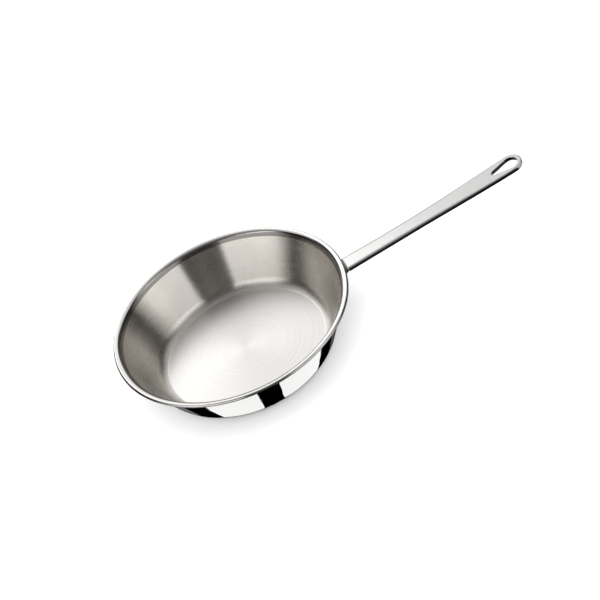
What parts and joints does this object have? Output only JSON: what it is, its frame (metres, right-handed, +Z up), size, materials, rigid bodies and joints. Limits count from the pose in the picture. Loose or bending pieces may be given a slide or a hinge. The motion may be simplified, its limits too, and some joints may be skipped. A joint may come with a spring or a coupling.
{
  "type": "frying pan",
  "caption": "Round shallow pan of layered clad steel with sloping walls and a flared pouring lip, and a long flat bar handle with a hanging slot, welded on outside the wall.",
  "frame": {"origin": "centre of the pan's flat underside", "axes": "+Z up out of the pan's mouth, +X towards the tip of the handle"},
  "size_m": [0.4583, 0.252, 0.0853],
  "materials": {
    "cooking_steel": "satin stainless steel, brushed round the pan",
    "core_aluminium": "bare aluminium, showing only as a line in the lip's ground edge",
    "outer_steel": "mirror-polished stainless steel",
    "handle_steel": "stainless steel, satin on its broad faces and polished on its edges",
    "saddle_steel": "pressed stainless steel, polished",
    "weld_steel": "weld metal, ground and polished back"
  },
  "bodies": {
    "root": {"inner_ply": "cooking_steel", "core_ply": "core_aluminium", "outer_ply": "outer_steel", "handle_bar": "handle_steel", "handle_saddle": "saddle_steel", "spot_weld_1": "weld_steel", "spot_weld_2": "weld_steel", "spot_weld_3": "weld_steel", "spot_weld_4": "weld_steel", "seam_weld": "weld_steel"}
  },
  "joints": []
}
